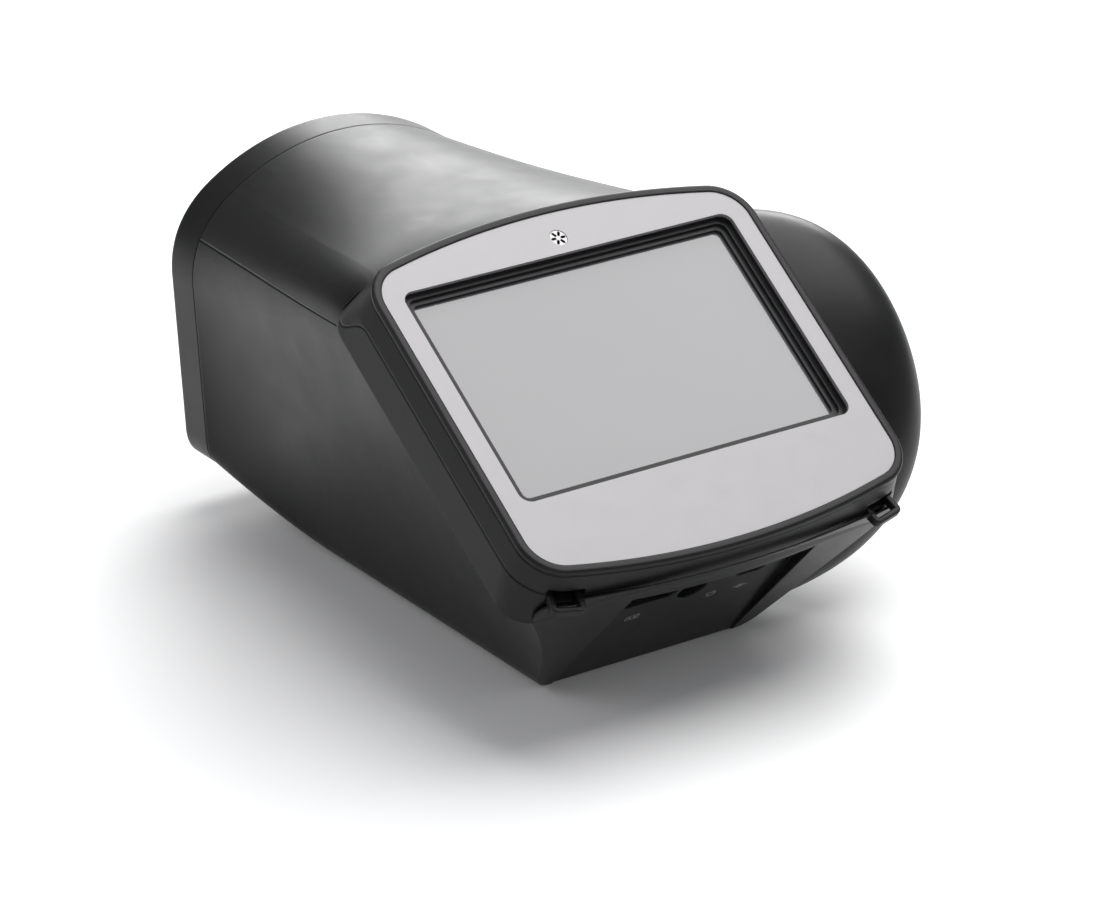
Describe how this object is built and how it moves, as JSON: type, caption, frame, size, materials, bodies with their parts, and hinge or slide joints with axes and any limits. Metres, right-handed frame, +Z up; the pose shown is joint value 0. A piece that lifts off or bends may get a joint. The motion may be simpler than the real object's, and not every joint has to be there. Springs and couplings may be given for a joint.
{
  "type": "autorefractor",
  "caption": "Hand-held autorefractor: tapered black housing with a sloping touch display, a domed side grip, a dark front window, rear ports and strap loops.",
  "frame": {"origin": "middle of the tripod socket's mouth in the base", "axes": "+X towards the operator's right (the grip), +Y towards the patient along the optical axis, +Z up"},
  "size_m": [0.173, 0.2196, 0.1235],
  "materials": {
    "black_shell": "fine texture, soft sheen",
    "silver_plate": "satin silver",
    "gasket": "matte black",
    "screen_glass": "anti-glare coated glass",
    "lcd": "grey, unlit",
    "grille": "bright, fine satin",
    "speaker": "matte",
    "sheet_metal": "plain",
    "screws": "zinc plated",
    "board": "green solder mask",
    "brass": "turned",
    "dark_window": "infrared-passing dark glass",
    "infrared": "clear dark epoxy",
    "fixation": "diffuse epoxy",
    "optics": "coated",
    "anodised": "black anodised",
    "sensor": "glossy",
    "battery": "shrink film",
    "rubber": "matte",
    "plated": "nickel plated",
    "usb_insulator": "white",
    "connector": "black",
    "button": "semi-gloss black",
    "indicator": "translucent green"
  },
  "bodies": {
    "housing": {"upper_shell": "black_shell", "lower_shell": "black_shell", "front_ring": "black_shell", "display_bezel": "black_shell", "side_grip": "black_shell", "strap_loop_left": "black_shell", "strap_loop_right": "black_shell", "faceplate": "silver_plate", "screen_gasket": "gasket", "touch_panel": "screen_glass", "lcd_panel": "lcd", "speaker_grille": "grille", "speaker": "speaker", "display_bracket": "sheet_metal", "battery_clip": "sheet_metal", "processor_shield": "sheet_metal", "bracket_screws": "screws", "bezel_screws": "screws", "main_board_screws": "screws", "ring_screws": "screws", "camera_bracket_screws": "screws", "camera_board_screws": "screws", "battery_clip_screws": "screws", "housing_screws": "screws", "port_board_screws": "screws", "grip_screws": "screws", "main_board": "board", "light_board": "board", "camera_board": "board", "port_board": "board", "board_spacers": "brass", "tripod_insert": "brass", "front_window": "dark_window", "infrared_lights": "infrared", "fixation_lights": "fixation", "front_lens": "optics", "rear_lens": "optics", "lens_barrel": "anodised", "lens_retainer": "anodised", "camera_bracket": "anodised", "image_sensor": "sensor", "battery_pack": "battery", "rubber_feet": "rubber", "usb_shell": "plated", "dc_jack_pin": "plated", "usb_tongue": "usb_insulator", "dc_jack": "connector", "switch_body": "connector"},
    "power_button": {"power_button": "button", "button_lens": "indicator"},
    "switch_plunger": {"switch_plunger": "button"}
  },
  "joints": [
    {"name": "power_button_press", "type": "slide", "parent": "housing", "child": "power_button", "axis": [0, 0.7638, 0.6455], "range_m": [0, 0.0006], "stiffness_N_per_m": 800, "springref_m": -0.0002},
    {"name": "switch_press", "type": "slide", "parent": "housing", "child": "switch_plunger", "axis": [0, 0.7638, 0.6455], "range_m": [0, 0.0006]}
  ],
  "couplings": [
    {"joint": "switch_press", "follows": "power_button_press", "ratio": 1}
  ]
}
